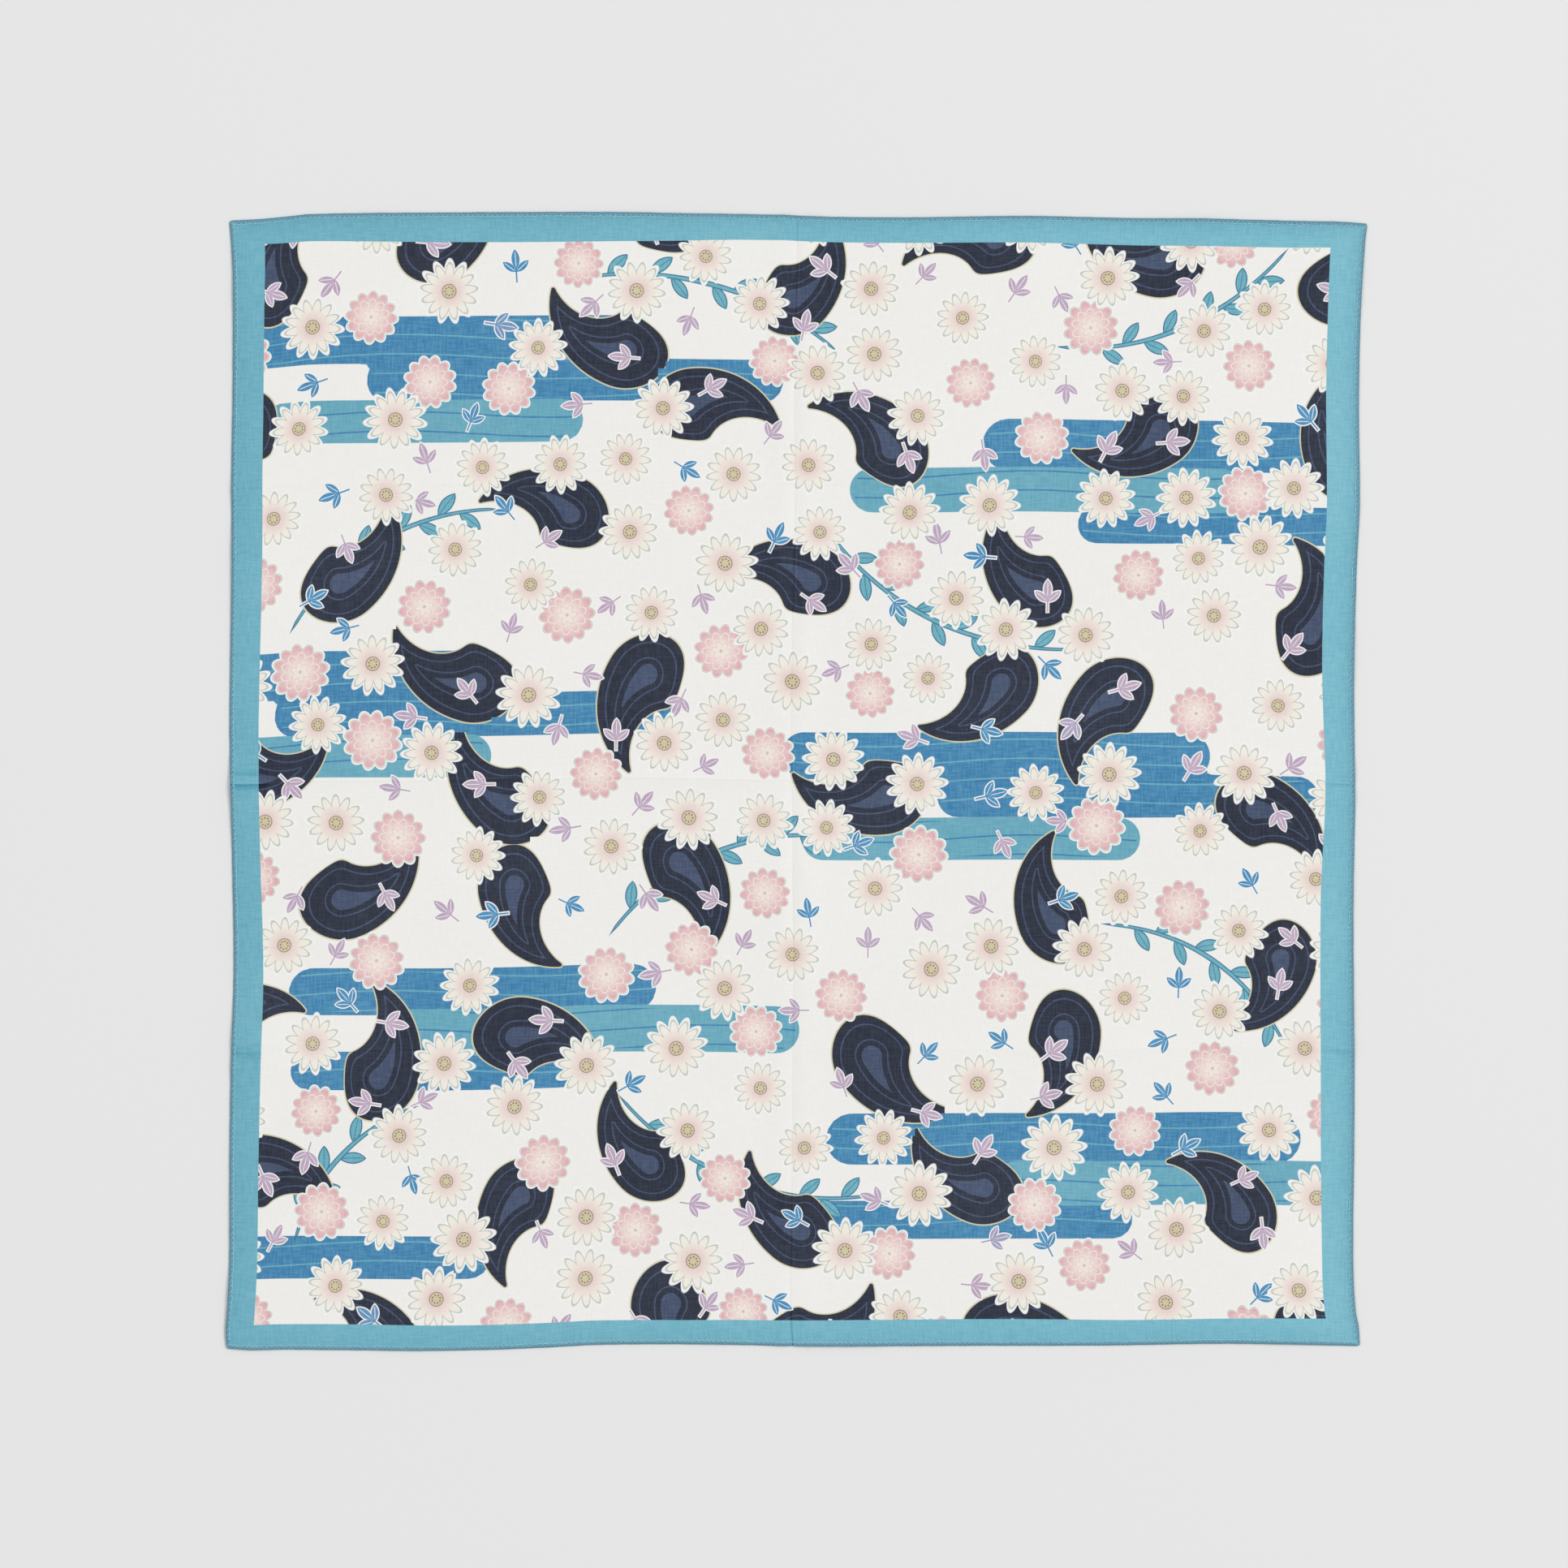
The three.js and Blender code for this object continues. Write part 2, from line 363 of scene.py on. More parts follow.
def keep_on_faces(mesh, name, *grids):
    """Stores up to three numbers for each point, the same on the cloth's two faces."""
    rows = np.zeros((grids[0].size, 3))
    for column, grid in enumerate(grids):
        rows[:, column] = grid.reshape(-1)
    keep_values(mesh, name, "POINT", np.tile(rows, (2, 1)))


def bake_map(mesh, flat, faces, top_count):
    """A UV map that gives most of the square to the printed face and a strip to the back."""
    margin, top_share, back_start = 0.004, 0.82, 0.83
    place = flat[faces] / SIDE + 0.5
    where = margin + place * (1 - 2 * margin)
    back = np.zeros(len(faces), bool)
    back[top_count:] = True
    height = np.where(back, 1 - margin - back_start, top_share - margin)[:, None]
    where[..., 1] = place[..., 1] * height + np.where(back, back_start, margin)[:, None]
    layer = mesh.uv_layers.new(name="OFBake")
    layer.data.foreach_set("uv", np.ascontiguousarray(where, np.float32).ravel())


def make_sheet():
    """The cloth as one closed thin mesh, with its flat places kept for the print."""
    columns, rows = line_shares(UPRIGHT_CREASES), line_shares(LEVEL_CREASES)
    across, up = np.meshgrid(columns, rows, indexing="ij")
    place = lie(across, up) - MIDDLE
    rise = lift(across, up)
    inset = inset_of(across, up)
    heights = [hem_height(face, inset) for face in ("top", "under")]
    points = [np.dstack([place, rise + height]).reshape(-1, 3) for height in heights]

    number = np.arange(across.size).reshape(across.shape)
    a, b = number[:-1, :-1], number[1:, :-1]
    c, d = number[1:, 1:], number[:-1, 1:]
    top = np.stack([a, b, c, d], -1).reshape(-1, 4)
    under = top[:, ::-1] + across.size
    ring = np.concatenate([number[:, 0], number[-1, 1:], number[-2::-1, -1], number[0, -2:0:-1]])
    after = np.roll(ring, -1)
    rim = np.stack([ring, ring + across.size, after + across.size, after], -1)
    faces = np.concatenate([top, under, rim])

    sheet, mesh = add_mesh("bandana_sheet", np.concatenate(points).tolist(), faces.tolist())
    mesh.validate()
    mesh.shade_smooth()

    flat = np.stack([(across - 0.5) * SIDE, (up - 0.5) * SIDE], -1).reshape(-1, 2)
    flat = np.concatenate([flat, flat])
    side = np.repeat([1.0, 0.0], across.size)
    keep_values(mesh, "flat", "POINT", np.column_stack([flat, side]))
    folds = {"upright": (UPRIGHT_CREASES, across, up), "level": (LEVEL_CREASES, up, across)}
    for name, crossing in folds.items():
        away, press, painted_shade, pleat, soft = nearest_crease(*crossing)
        # the third number of each fold: the strength of its painted shadow over the border
        keep_on_faces(mesh, f"{name}_fold", away, press, painted_shade)
        keep_on_faces(mesh, f"{name}_pleat", pleat, soft)
    sides, ends = border_depth(across, up, "left", "right"), border_depth(up, across, "near", "far")
    keep_on_faces(mesh, "border", sides, ends, inset / MM)
    bake_map(mesh, flat, faces, len(top))
    return sheet, flat, faces


# Layout of the print

FAR_AWAY = 900.0  # a local place, in millimetres, where a motif paints nothing

# Mist bands: bars with round ends. x, y: middle. half: half length between the ends' centres.
# radius: half height. pale: drawn in the lighter ink. All in millimetres.
MIST = table(
    ("x", "y", "half", "radius", "pale"),
    (-168, 206, 82, 11, 0), (-104, 187, 88, 10, 0), (-176, 168, 66, 10, 1),
    (176, 158, 76, 12, 0), (118, 137, 82, 10.5, 1), (196, 121, 54, 9, 0),
    (-206, 50, 58, 11, 0), (-150, 31, 84, 10, 0), (-206, 12, 54, 10, 1),
    (96, 12, 90, 11, 0), (158, -7, 80, 10, 0), (84, -27, 70, 10, 1),
    (-152, -98, 76, 11, 0), (-96, -117, 88, 11, 1), (-168, -135, 60, 9, 0),
    (128, -168, 100, 12, 0), (180, -189, 74, 10.5, 1), (84, -206, 68, 9, 0),
    (-206, -222, 54, 10, 0),
)
MIST_BLEND = 5.0  # rounds the inner corners where two bars meet

# Leafy vines: arcs of a circle. x, y: middle. lean: degrees from level. half: half length.
# bend: radius, negative where the arc hangs down.
VINES = table(
    ("x", "y", "lean", "half", "bend"),
    (-40, 232, -14, 62, 150), (182, 214, 24, 56, -120), (-196, 112, 30, 54, 110),
    (66, 76, -26, 66, -140), (-36, -34, 22, 60, 120), (198, -84, -34, 50, 100),
    (-26, -188, -20, 64, -130), (-214, -176, 48, 40, 90),
)
VINE_REACH = 16  # a vine paints nothing further from its stem than this

# Scattered motifs. count: how many at most. radius: in millimetres. gap: least distance between two of
# a kind. clear: least distance to kinds that are laid before.
SCATTER = table(
    ("kind", "count", "radius", "gap", "seed", "size", "clear"),
    ("paisley", 60, 37, 57, 5, (0.98, 1.1), {}),
    ("dahlia", 56, 13.5, 29, 11, (0.84, 0.98), {"paisley": 19}),
    ("daisy", 140, 13.8, 27, 17, (0.84, 0.98), {"paisley": 19, "dahlia": 19}),
    ("sprig", 170, 8, 20, 23, (0.92, 1.06), {"dahlia": 16, "daisy": 16}),
)
MOTIF_REACH = {"share": 1.25, "more": 2}  # a motif owns faces within this share of its radius, and more
TRIES = 14


def scatter(form, clear):
    """Rows of x, y, turn, size and tint for one kind: each new place is the roomiest of some tries."""
    draw = np.random.default_rng(form["seed"])
    limit = HALF / MM
    places = np.empty((0, 2))
    for _ in range(form["count"]):
        tries = draw.uniform(-limit, limit, (TRIES, 2))
        room = np.full(TRIES, np.inf)
        for others, gap in [(places, form["gap"]), *clear]:
            for other in others:
                away = np.hypot(*(tries - other[:2]).T)
                room = np.minimum(room, away / gap)
        best = np.argmax(room)
        if room[best] >= 1:
            places = np.vstack([places, tries[best]])
    turn = draw.uniform(0, WHOLE_TURN, len(places))
    size = draw.uniform(*form["size"], len(places))
    tint = draw.uniform(0, 1, len(places))
    return np.column_stack([places, turn, size, tint])


def motif_places(flat, faces, motifs, radius):
    """For each face corner: its place in the local frame of the nearest motif, and the motif's tint."""
    corners = flat[faces] / MM
    centre = corners.mean(1)
    owner = np.full(len(faces), -1)
    nearest = np.full(len(faces), radius * MOTIF_REACH["share"] + MOTIF_REACH["more"])
    for index, motif in enumerate(motifs):
        away = np.hypot(*(centre - motif[:2]).T)
        closer = away < nearest
        owner[closer] = index
        nearest[closer] = away[closer]
    own = motifs[owner][:, None, :]
    shift = corners - own[..., :2]
    cos, sin = np.cos(own[..., 2]), np.sin(own[..., 2])
    local_x = (shift[..., 0] * cos + shift[..., 1] * sin) / own[..., 3]
    local_y = (shift[..., 1] * cos - shift[..., 0] * sin) / own[..., 3]
    local = np.stack([local_x, local_y, np.broadcast_to(own[..., 4], local_x.shape)], -1)
    local[owner < 0] = FAR_AWAY
    return local.reshape(-1, 3)


def vine_places(flat, faces):
    """For each face corner: its place along and across the nearest vine, and the vine's half length."""
    corners = flat[faces] / MM
    places = np.full((*corners.shape[:2], 3), FAR_AWAY)
    nearest = np.full(len(faces), float(VINE_REACH))
    for vine in VINES:
        lean = math.radians(vine["lean"])
        to_hub = vine["bend"] * np.array([math.sin(lean), -math.cos(lean)])
        arm = corners - (np.array([vine["x"], vine["y"]]) + to_hub)
        sign = math.copysign(1, vine["bend"])
        turn = np.arctan2(arm[..., 0] * sign, arm[..., 1] * sign) + lean
        turn = (turn + math.pi) % WHOLE_TURN - math.pi
        along = turn * vine["bend"]
        across = (np.hypot(arm[..., 0], arm[..., 1]) - abs(vine["bend"])) * sign
        away = np.abs(across).mean(1)
        past_end = np.abs(along).mean(1) > vine["half"] + VINE_REACH
        closer = (away < nearest) & ~past_end
        nearest[closer] = away[closer]
        half = np.full(along.shape, float(vine["half"]))
        places[closer] = np.stack([along, across, half], -1)[closer]
    return places.reshape(-1, 3)


def mist_depth(flat):
    """Distance to the outline of each ink's mist bands, negative inside, in millimetres."""
    x, y = flat.T / MM
    depth = np.full((3, len(flat)), FAR_AWAY)
    for bar in MIST:
        past = np.maximum(np.abs(x - bar["x"]) - bar["half"], 0)
        distance = np.hypot(past, y - bar["y"]) - bar["radius"]
        old = depth[bar["pale"]]
        mix = np.clip(0.5 + 0.5 * (old - distance) / MIST_BLEND, 0, 1)
        depth[bar["pale"]] = old + (distance - old) * mix - MIST_BLEND * mix * (1 - mix)
    return depth.T


def lay_out_print(mesh, flat, faces):
    """Stores where each motif of the print lies on the cloth."""
    laid = {}
    for form in SCATTER:
        kind, clear = form["kind"], form["clear"].items()
        laid[kind] = scatter(form, [(laid[other], gap) for other, gap in clear])
        keep_values(mesh, kind, "CORNER", motif_places(flat, faces, laid[kind], form["radius"]))
    keep_values(mesh, "vine", "CORNER", vine_places(flat, faces))
    keep_values(mesh, "mist", "POINT", mist_depth(flat))


# Inks and the numbers that place them

def ink(red, green, blue):
    """A colour as it is seen, 0 to 255, as a shader's linear colour."""
    def linear(level):
        share = level / 255
        return share / 12.92 if share <= 0.04045 else ((share + 0.055) / 1.055) ** 2.4
    return (linear(red), linear(green), linear(blue), 1)


INKS = {
    "ground": ink(238, 237, 233),
    "border": ink(111, 175, 193),
    # the border's blue in painted light, laid on towards its brighter right side
    "border in painted light": ink(123, 186, 203),
    # the next two: painted shade near the rolled hem, under its sewing and along its edge
    "hem": ink(84, 145, 170),
    "hem edge in painted shade": ink(95, 139, 158),
    "thread": ink(134, 194, 210),
    "pale thread": ink(168, 220, 229),
    # the thread's blue in painted shade, along the rim and in the gaps between stitches
    "thread in painted shade": ink(96, 147, 169),
    "mist": ink(66, 129, 174),
    "pale mist": ink(106, 168, 188),
    "vine": ink(110, 174, 190),
    "vine line": ink(66, 122, 152),
    "navy": ink(46, 51, 66),
    "navy line": ink(70, 82, 108),
    "gold line": ink(207, 203, 170),
    "white": ink(241, 240, 238),
    "pink": ink(219, 158, 167),
    "pink pale": ink(229, 203, 202),
    "pink heart": ink(239, 227, 219),
    "cream": ink(240, 234, 224),
    "blush": ink(230, 209, 204),
    "grey line": ink(190, 199, 188),
    "gold": ink(206, 198, 162),
    "mauve": ink(156, 122, 122),
    "lavender": ink(188, 166, 190),
    "leaf blue": ink(74, 142, 186),
}
SOFT_EDGE = 0.24  # millimetres over which an inked edge goes over to the cloth


def add_node(tree, kind, **values):
    """A new shader node, with the values of some inputs."""
    node = tree.nodes.new(f"ShaderNode{kind}")
    for name, value in values.items():
        node.inputs[name].default_value = value
    return node


class Field:
    """A number at each point of the surface, worked out by Math nodes."""

    def __init__(self, tree, socket):
        self.tree = tree
        self.socket = socket

    def apply(self, operation, *others, clamp=False):
        node = add_node(self.tree, "Math")
        node.operation = operation
        node.use_clamp = clamp
        for slot, value in zip(node.inputs, (self, *others)):
            if isinstance(value, Field):
                self.tree.links.new(value.socket, slot)
            else:
                slot.default_value = value
        return Field(self.tree, node.outputs[0])

    __add__ = partialmethod(apply, "ADD")
    __sub__ = partialmethod(apply, "SUBTRACT")
    __mul__ = partialmethod(apply, "MULTIPLY")
    __truediv__ = partialmethod(apply, "DIVIDE")
    __abs__ = partialmethod(apply, "ABSOLUTE")
    least = partialmethod(apply, "MINIMUM")
    most = partialmethod(apply, "MAXIMUM")

    def ramp(self, low, high):
        """From 0 at low to 1 at high, level outside. low may be above high."""
        slope = 1 / (high - low)
        return self.apply("MULTIPLY_ADD", slope, -low * slope, clamp=True)

    def inside(self):
        """One where this distance is below 0, with a soft edge."""
        return self.ramp(SOFT_EDGE / 2, -SOFT_EDGE / 2)


class Print:
    """Builds the material's colour, one ink over another. An ink is given by its name."""

    def __init__(self, tree, colour):
        self.tree = tree
        self.colour = colour

    def read(self, name):
        """The three numbers stored on the mesh under a name."""
        node = add_node(self.tree, "Attribute")
        node.attribute_name = name
        split = add_node(self.tree, "SeparateXYZ")
        self.tree.links.new(node.outputs["Vector"], split.inputs[0])
        return [Field(self.tree, socket) for socket in split.outputs]

    def mix(self, share, below, above):
        """A blend of two inks or colours: inputs 6 and 7 of a Mix node, and its output 2."""
        node = add_node(self.tree, "Mix")
        node.data_type = "RGBA"
        for number, value in ((0, share.socket), (6, below), (7, above)):
            if isinstance(value, str):
                node.inputs[number].default_value = INKS[value]
            else:
                self.tree.links.new(value, node.inputs[number])
        return node.outputs[2]

    def lay(self, share, colour):
        """Prints one ink or colour over what is there."""
        self.colour = self.mix(share, self.colour, colour)

    def lay_shapes(self, *rows):
        """Prints shapes one over another.

        A row is the distance to a shape's outline, how far the shape is grown, its ink, and for some
        shapes the share of them that is printed.
        """
        for distance, grown, colour, *within in rows:
            share = (distance - grown).inside()
            for part in within:
                share = share * part
            self.lay(share, colour)

    def thin(self, share):
        """Takes a share of the ink's density away, which leaves the bare cloth as it is."""
        node = add_node(self.tree, "Gamma")
        self.tree.links.new(self.colour, node.inputs["Color"])
        self.tree.links.new((share * -1 + 1).socket, node.inputs["Gamma"])
        self.colour = node.outputs[0]


# Shapes that the motifs are drawn with

def length(x, y):
    return (x * x + y * y).apply("SQRT")


def lean_over(x, y, lean):
    """A place in a frame that is turned by the angle lean."""
    return x * math.cos(lean) + y * math.sin(lean), y * math.cos(lean) - x * math.sin(lean)


def ellipse(x, y, middle, long, wide):
    """Distance to an ellipse that lies along x, negative inside. long, wide: half sizes."""
    return (length((x - middle) / long, y / wide) - 1) * wide


def lens(x, y, middle, long, wide):
    """Distance to a leaf with two points that lies along x, in the same terms."""
    bow = (long**2 + wide**2) / (2 * wide)
    return length(x - middle, abs(y) + (bow - wide)) - bow


def drop(along, across, head, tip, tail):
    """Distance to a drop, negative inside: a round head at 0 that narrows to a small round tip."""
    narrowing = (head - tip) / tail
    lean = narrowing / math.sqrt(1 - narrowing**2)
    share = (along - across * lean).ramp(0, tail)
    return length(across, along - share * tail) - (share * (tip - head) + head)


def polar(x, y):
    """Distance from a flower's middle, and direction."""
    return length(x, y), y.apply("ARCTAN2", x)


def petal(reach, turn, count, start=0):
    """The place in the frame of a ring's nearest petal. start: the first petal's direction."""
    half_turn = math.pi / count
    own = (turn - start).apply("WRAP", half_turn, -half_turn)
    return reach * own.apply("COSINE"), reach * own.apply("SINE")


def petal_ring(reach, turn, count, start=0, **form):
    """Distance to a ring of oval petals, negative inside. form: what an ellipse takes."""
    return ellipse(*petal(reach, turn, count, start), **form)


# The motifs, in millimetres

def print_mist(cloth, streaks):
    """Level mist bands in two blues, with fine flow lines. streaks: where the yarn took less ink."""
    pitch, width = 9.0, 0.7  # of the flow lines
    swing, wave = 1.6, 150 * MM  # height and length of their waves
    inset = 1.6  # from a band's outline in to its lines
    paler = 0.2  # how much pale ink shows in the streaks
    x, y, _ = cloth.read("flat")
    blue, pale, _ = cloth.read("mist")
    bend = (x * (WHOLE_TURN / wave)).apply("SINE") * swing
    across = (y / MM + bend).apply("WRAP", pitch / 2, -pitch / 2)
    flow = (abs(across) - width / 2).inside()
    streaked = cloth.mix(streaks * paler, "mist", "pale mist")
    cloth.lay_shapes(
        (blue, 0, streaked),
        (blue, -inset, "pale mist", flow),
        (pale, 0, "pale mist"),
        (pale, -inset, "mist", flow),
    )


def print_vines(cloth):
    """Slim stems with leaves set by turns on their two sides."""
    half_pitch, lean = 10.0, math.radians(42)  # of the leaves on one side
    half_stem, taper, tip = 1.0, 0.5, 0.12  # and how the stem narrows towards its ends and past them
    bare = 8  # the stem's end without leaves
    vein_gap = 0.6  # from a leaf's outline in to its vein
    along, across, half = cloth.read("vine")
    shifted = along + across.apply("GREATER_THAN", 0) * half_pitch
    step = shifted.apply("WRAP", half_pitch, -half_pitch)
    leaf_x, leaf_y = lean_over(step, abs(across), lean)
    leaf = lens(leaf_x, leaf_y, middle=7.0, long=6.2, wide=2.5)
    past_end = ((abs(along) - half) * tip).most(0)
    stem = abs(across) - half_stem + past_end + (abs(along) / half) * taper
    on_stem = (abs(along - step) - half + bare).inside()
    cloth.lay_shapes(
        (leaf, 0.35, "vine line", on_stem),
        (leaf, -0.25, "vine", on_stem),
        (abs(leaf_y), 0.175, "vine line", (leaf + vein_gap).inside(), on_stem),
        (stem, 0.3, "vine line"),
        (stem, -0.25, "vine"),
    )


def print_paisleys(cloth):
    """Large dark drops with a curled tip, a gold outline and a fine drawing inside."""
    bend = 31  # radius of the curl
    head_x, head_y = -8, 7  # middle of the head
    line_gap = 3.6  # from the outline in to the fine line
    x, y, tint = cloth.read("paisley")
    curl = tint.apply("GREATER_THAN", 0.5) * 2 - 1
    x, from_hub = x - head_x, y * curl + (bend - head_y)
    along = x.apply("ARCTAN2", from_hub) * bend
    across = abs(length(x, from_hub) - bend)
    body = drop(along, across, head=17, tip=0.9, tail=47)
    heart = drop(along, across, head=7, tip=0.5, tail=28)
    cloth.lay_shapes(
        (body, 0.6, "gold line"),
        (body, 0, "navy"),
        (abs(body + line_gap), 0.3, "navy line"),
        (abs(heart), 0.3, "navy line"),
        (heart, -2.6, "navy line"),
    )


def print_sprigs(cloth):
    """Small three-leaved sprigs in lavender or blue."""
    lean, foot = math.radians(50), 2.5  # of the side leaves, and from the middle back to their foot
    stalk_wide, stalk_long = 0.35, 3.6  # half sizes
    middle_gap, side_gap = 0.7, 0.6  # from a leaf's outline in to its vein
    blue_from = (0.68, 0.69)  # tints at which the leaves turn blue
    x, y, tint = cloth.read("sprig")
    beside = abs(y)
    side_x, side_y = lean_over(x + foot, beside, lean)
    middle_leaf = lens(x, y, middle=3.2, long=4.4, wide=1.8)
    side_leaf = lens(side_x, side_y, middle=3.8, long=3.7, wide=1.55)
    stalk = (beside - stalk_wide).most(abs(x + stalk_long) - stalk_long)
    whole = middle_leaf.least(side_leaf).least(stalk)
    leaves = cloth.mix(tint.ramp(*blue_from), "lavender", "leaf blue")
    cloth.lay_shapes(
        (whole, 0.55, "white"),
        (whole, 0, leaves),
        (beside, 0.15, "white", (middle_leaf + middle_gap).inside()),
        (abs(side_y), 0.15, "white", (side_leaf + side_gap).inside()),
    )


def print_dahlias(cloth):
    """Round pink flowers: three rings of petals, palest at the heart."""
    disc = 9  # radius that the petals fill
    outer_fade, middle_fade = (8, 14), (4, 12)  # from the heart, where the petals turn pink
    reach, turn = polar(*cloth.read("dahlia")[:2])
    outer = petal_ring(reach, turn, count=12, middle=9.2, long=4.1, wide=2.65)
    middle = petal_ring(reach, turn, count=10, start=0.2, middle=5.9, long=3.3, wide=1.95)
    inner = petal_ring(reach, turn, count=6, middle=2.4, long=2.3, wide=1.35)
    silhouette = outer.least(reach - disc)
    outer_pink = cloth.mix(reach.ramp(*outer_fade), "pink pale", "pink")
    middle_pink = cloth.mix(reach.ramp(*middle_fade), "pink heart", "pink")
    cloth.lay_shapes(
        (silhouette, 0.9, "white"),
        (silhouette, 0.3, "grey line"),
        (silhouette, 0, "pink heart"),
        (outer, -0.2, outer_pink),
        (middle, 0.3, "pink heart"),
        (middle, -0.1, middle_pink),
        (inner, 0.25, "pink pale"),
        (inner, -0.1, "pink heart"),
        (reach, 0.8, "gold"),
    )


def print_daisies(cloth):
    """Cream flowers with slim petals in fine outline round a gold eye."""
    disc, seed_ring = 6, 2.0  # radius that the petals fill, and of the ring of seeds
    fade = (9.5, 4)  # from the heart, where the petals turn to blush
    reach, turn = polar(*cloth.read("daisy")[:2])
    petals = petal_ring(reach, turn, count=13, middle=8.2, long=5.5, wide=2.0)
    silhouette = petals.least(reach - disc)
    seed_x, seed_y = petal(reach, turn, count=8)
    cream = cloth.mix(reach.ramp(*fade), "cream", "blush")
    cloth.lay_shapes(
        (silhouette, 0.9, "white"),
        (silhouette, 0.25, "grey line"),
        (petals, -0.15, cream),
        (reach, 3.6, "mauve"),
        (reach, 3.2, "gold"),
        (length(seed_x - seed_ring, seed_y), 0.45, "mauve"),
    )


def print_border(cloth):
    """A plain band round all four sides, paler to the right in painted light, and darkened near the hem
    and under the sewing by painted shade.
    """
    sides, ends, inset = cloth.read("border")
    x, _, _ = cloth.read("flat")
    # painted light: the border grows paler from left to right
    colour = cloth.mix(x.ramp(-HALF, HALF), "border", "border in painted light")
    cloth.lay((sides.most(ends) * -1).inside(), colour)
    # painted shade near the hem and under its sewing, in three tones: from the edge, where a tone sets
    # in and where it is full, its share and its ink
    tones = ((9, 2, 0.2, "hem"), (2.0, 1.2, 0.5, "hem"), (1.0, 0.4, 0.85, "hem edge in painted shade"))
    for start, full, share, tone in tones:
        cloth.lay(inset.ramp(start, full) * share, tone)


# Materials

# Noise on the cloth. per_metre: how many swells along and across the yarn. shift: picks another draw.
# For the yarn, the last pair marks where its noise is low: the weave's gaps, which get painted shade.
YARN = {"per_metre": (190, 2600), "shift": (3.0, 7.0), "pale": (0.5, 0.8), "painted_gap_shade": (0.5, 0.2)}
SLUB = {"per_metre": (140, 1150), "shift": (17.0, 19.0), "pale": (0.36, 0.64)}
COAT = {"per_metre": (14, 14), "shift": 11.0, "pale": (0.4, 0.75)}
NOISE_DETAIL = 2

# How far each of these thins the ink, the thin line of painted shade along the creases thickening it
# instead, and how much navy is laid as painted shade in the gaps of the weave and along the creases'
# dark lines
THINNING = {"coat": 0.06, "yarn": 0.06, "streaks": 0.15, "light": 0.08, "painted_shade_line": 0.1}
PAINTED_GAP_SHADE_NAVY = 0.03
PAINTED_SHADE_LINE_NAVY = 0.035
BACK_PALE = 0.45  # how much of the print the cloth hides from the back

# Creases, in millimetres: a light line of worn ink, a thin line of painted shade, and painted shadow
# beside a pleat
WORN_AND_SHADED_LINE = (0.6, 0.1)  # from a line's middle, where its ink sets in and where it is full
LIGHT_LINE = 1.1  # from the dark line to the light one beside it
PLEAT_RISE = 0.8  # the shade beside a pleat sets in over this distance
PLEAT_STEP = 0.1  # the shade changes over this distance in the middle of a pleat
SECOND_LINE = 0.5  # how much weaker the shade is past a pleat's second line

# Surfaces. bump: strength and depth. cross, yarn: what the weave and the yarn add to it.
WEAVE = {"thread": 0.38 * MM, "cross": 0.5, "yarn": 0.8, "bump": (0.5, 0.06 * MM)}
TWIST = {"per_metre": 2200, "pale": (0.35, 0.7), "bump": (0.5, 0.04 * MM)}
ROUGHNESS = {"least": 0.8, "yarn": 0.12}
CLOTH_FINISH = {"Specular IOR Level": 0.2, "Sheen Weight": 0.12, "Sheen Roughness": 0.5}
THREAD_FINISH = {"Roughness": 0.7, "Sheen Weight": 0.15}
FLOOR_FINISH = {"Base Color": ink(231, 231, 231), "Roughness": 0.95, "Specular IOR Level": 0.0}


def new_material(name, finish):
    """A new material, with the values of its finish set on the shader."""
    material = bpy.data.materials.new(name)
    material.use_nodes = True
    tree = material.node_tree
    shader = tree.nodes["Principled BSDF"]
    for socket, value in finish.items():
        shader.inputs[socket].default_value = value
    return material, tree, shader


def add_bump(tree, shader, height, strength, depth):
    bump = add_node(tree, "Bump", Strength=strength, Distance=depth)
    tree.links.new(height.socket, bump.inputs["Height"])
    tree.links.new(bump.outputs["Normal"], shader.inputs["Normal"])


def cloth_noise(tree, per_metre, shift):
    """Noise over the flat cloth, about 0 to 1. per_metre: how many swells along x and y."""
    flat = add_node(tree, "Attribute")
    flat.attribute_name = "flat"
    stretch = add_node(tree, "Mapping", Location=(shift, shift, 0), Scale=(*per_metre, 1))
    noise = add_node(tree, "TexNoise", Scale=1, Detail=NOISE_DETAIL)
    noise.noise_dimensions = "2D"
    tree.links.new(flat.outputs["Vector"], stretch.inputs["Vector"])
    tree.links.new(stretch.outputs["Vector"], noise.inputs["Vector"])
    return Field(tree, noise.outputs[0])


def crossed_noise(tree, form):
    """Noise that is drawn out along the yarn of both directions."""
    first, second = form["shift"]
    level = cloth_noise(tree, form["per_metre"], first)
    upright = cloth_noise(tree, form["per_metre"][::-1], second)
    return (level + upright) * 0.5


